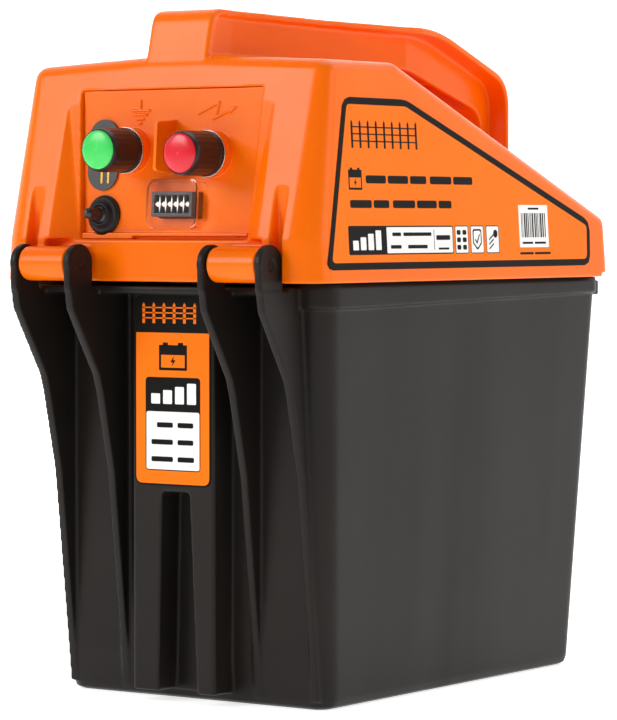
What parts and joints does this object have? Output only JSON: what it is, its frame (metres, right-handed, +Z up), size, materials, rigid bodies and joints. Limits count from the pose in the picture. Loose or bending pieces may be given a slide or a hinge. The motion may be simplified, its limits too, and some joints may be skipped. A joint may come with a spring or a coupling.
{
  "type": "fence energizer",
  "caption": "Portable battery fence energizer: black battery case with a hinged orange lid carrying a handle, screw terminals, toggle switch, socket and LED display.",
  "frame": {"origin": "centre of the case's bottom face", "axes": "+Z up, the control panel faces -Y, +X to the right when looking at the panel"},
  "size_m": [0.1768, 0.2748, 0.3121],
  "materials": {
    "case_black": "satin moulded",
    "lid_orange": "glossy moulded",
    "panel_orange": "glossy moulded",
    "steel": "zinc plated",
    "brass": "plain",
    "washer_metal": "plated",
    "clear_lens": "clear moulded",
    "bezel_grey": "matte",
    "led_white": "diffuse",
    "board_green": "solder resist",
    "knob_black": "satin",
    "green_cap": "smooth",
    "red_cap": "smooth",
    "dark_plastic": "moulded",
    "rubber_black": "matte",
    "switch_blue": "moulded",
    "core_grey": "laminated",
    "coil_copper": "varnished",
    "capacitor_blue": "sleeved",
    "label_orange": "printed film"
  },
  "bodies": {
    "case": {"case_tub": "case_black", "hinge_pin_left": "steel", "hinge_pin_right": "steel", "front_label": "label_orange"},
    "lid": {"lid_shell": "lid_orange", "carry_handle": "lid_orange", "control_panel": "panel_orange", "display_lens": "clear_lens", "led_bezel": "bezel_grey", "led_segments": "led_white", "display_board": "board_green", "earth_stud": "brass", "fence_stud": "brass", "stud_nuts": "steel", "socket_housing": "dark_plastic", "socket_contacts": "brass", "switch_body": "switch_blue", "switch_nut": "steel", "switch_boot": "rubber_black", "main_board": "board_green", "transformer_core": "core_grey", "transformer_coil": "coil_copper", "storage_capacitor": "capacitor_blue", "board_parts": "dark_plastic", "inner_cover": "dark_plastic", "cover_seal": "rubber_black", "cover_screws": "steel", "board_screws": "steel", "panel_screws": "steel", "lead_gland": "rubber_black", "side_label_right": "label_orange", "side_label_left": "label_orange"},
    "earth_clamp": {"earth_washer": "washer_metal"},
    "earth_screw": {"earth_knob": "knob_black", "earth_cap": "green_cap"},
    "fence_clamp": {"fence_washer": "washer_metal"},
    "fence_screw": {"fence_knob": "knob_black", "fence_cap": "red_cap"},
    "toggle": {"switch_lever": "dark_plastic"}
  },
  "joints": [
    {"name": "lid_hinge", "type": "hinge", "parent": "case", "child": "lid", "pos_m": [0, -0.14325, 0.198], "axis": [1, 0, 0], "range_deg": [0, 105]},
    {"name": "earth_clamp_slide", "type": "slide", "parent": "lid", "child": "earth_clamp", "axis": [0, -1, 0], "range_m": [0, 0.006]},
    {"name": "earth_knob_turn", "type": "hinge", "parent": "earth_clamp", "child": "earth_screw", "pos_m": [-0.0208, -0.14, 0.2488], "axis": [0, -1, 0], "range_deg": [0, 1441]},
    {"name": "fence_clamp_slide", "type": "slide", "parent": "lid", "child": "fence_clamp", "axis": [0, -1, 0], "range_m": [0, 0.006]},
    {"name": "fence_knob_turn", "type": "hinge", "parent": "fence_clamp", "child": "fence_screw", "pos_m": [0.0247, -0.14, 0.2469], "axis": [0, -1, 0], "range_deg": [0, 1441]},
    {"name": "toggle_tilt", "type": "hinge", "parent": "lid", "child": "toggle", "pos_m": [-0.0354, -0.12666, 0.21984], "axis": [1, 0, 0], "range_deg": [-12, 12]}
  ],
  "couplings": [
    {"joint": "earth_knob_turn", "follows": "earth_clamp_slide", "rad_per_m": 4188.8},
    {"joint": "fence_knob_turn", "follows": "fence_clamp_slide", "rad_per_m": 4188.8}
  ]
}
